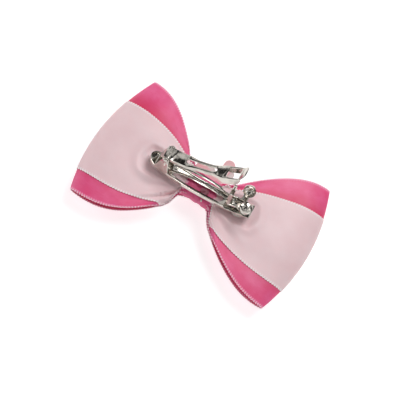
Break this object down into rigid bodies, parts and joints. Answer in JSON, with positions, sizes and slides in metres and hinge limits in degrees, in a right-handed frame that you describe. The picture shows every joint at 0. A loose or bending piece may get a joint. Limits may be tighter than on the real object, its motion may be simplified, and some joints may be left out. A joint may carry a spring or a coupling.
{
  "type": "barrette with ribbon bow",
  "caption": "Two-layer satin ribbon bow with a small flower on its front, glued to a plated spring barrette that stands open on its back.",
  "frame": {"origin": "centre of the bow on the plane that the fronts of its loops rest on", "axes": "+X along the bow from the hinge end to the catch end of the clip, +Y across the bow towards the flower, +Z out of the back of the bow, towards the clip"},
  "size_m": [0.1077, 0.0651, 0.0378],
  "materials": {
    "nickel_plate": "bright nickel plate",
    "hot_pink_satin": "satin ribbon with a picot edge",
    "pale_pink_satin": "satin ribbon with a picot edge",
    "white_thread": "sewing thread",
    "clear_glue": "set hot-melt glue",
    "salmon_felt": "felt",
    "pale_felt": "felt",
    "pearl": "pearly bead"
  },
  "bodies": {
    "bow_and_base": {"base_plate": "nickel_plate", "hinge_pin": "nickel_plate", "catch_bracket": "nickel_plate", "catch_rivet": "nickel_plate", "glue_left": "clear_glue", "glue_middle": "clear_glue", "glue_right": "clear_glue", "flower_glue": "clear_glue", "wide_left_back": "hot_pink_satin", "narrow_left_back": "pale_pink_satin", "wide_left_front": "hot_pink_satin", "narrow_left_front": "pale_pink_satin", "wide_right_back": "hot_pink_satin", "narrow_right_back": "pale_pink_satin", "wide_right_front": "hot_pink_satin", "narrow_right_front": "pale_pink_satin", "gathered_core": "hot_pink_satin", "centre_wrap": "hot_pink_satin", "gather_thread": "white_thread", "thread_end": "white_thread", "back_petals": "salmon_felt", "front_petals": "pale_felt", "flower_bead": "pearl"},
    "arm": {"clasp_arm": "nickel_plate"},
    "spring": {"tension_spring": "nickel_plate"},
    "upper_wing": {"upper_wing": "nickel_plate"},
    "lower_wing": {"lower_wing": "nickel_plate"}
  },
  "joints": [
    {"name": "arm_hinge", "type": "hinge", "parent": "bow_and_base", "child": "arm", "pos_m": [-0.02117, -0.00086, 0.02329], "axis": [0.0448, -0.95, 0.309], "range_deg": [-20, 50]},
    {"name": "spring_flex", "type": "hinge", "parent": "bow_and_base", "child": "spring", "pos_m": [-0.01907, -0.00299, 0.01644], "axis": [-0.0448, 0.95, -0.309], "range_deg": [0, 2.4], "stiffness_Nm_per_rad": 0.02},
    {"name": "upper_pinch", "type": "hinge", "parent": "bow_and_base", "child": "upper_wing", "pos_m": [0.01387, 0.00123, 0.01621], "axis": [0.9989, 0.0471, 0], "range_deg": [-2.5, 9], "stiffness_Nm_per_rad": 0.02},
    {"name": "lower_pinch", "type": "hinge", "parent": "bow_and_base", "child": "lower_wing", "pos_m": [0.0141, -0.00371, 0.01782], "axis": [-0.9989, -0.0471, 0], "range_deg": [-2.5, 9], "stiffness_Nm_per_rad": 0.02}
  ]
}
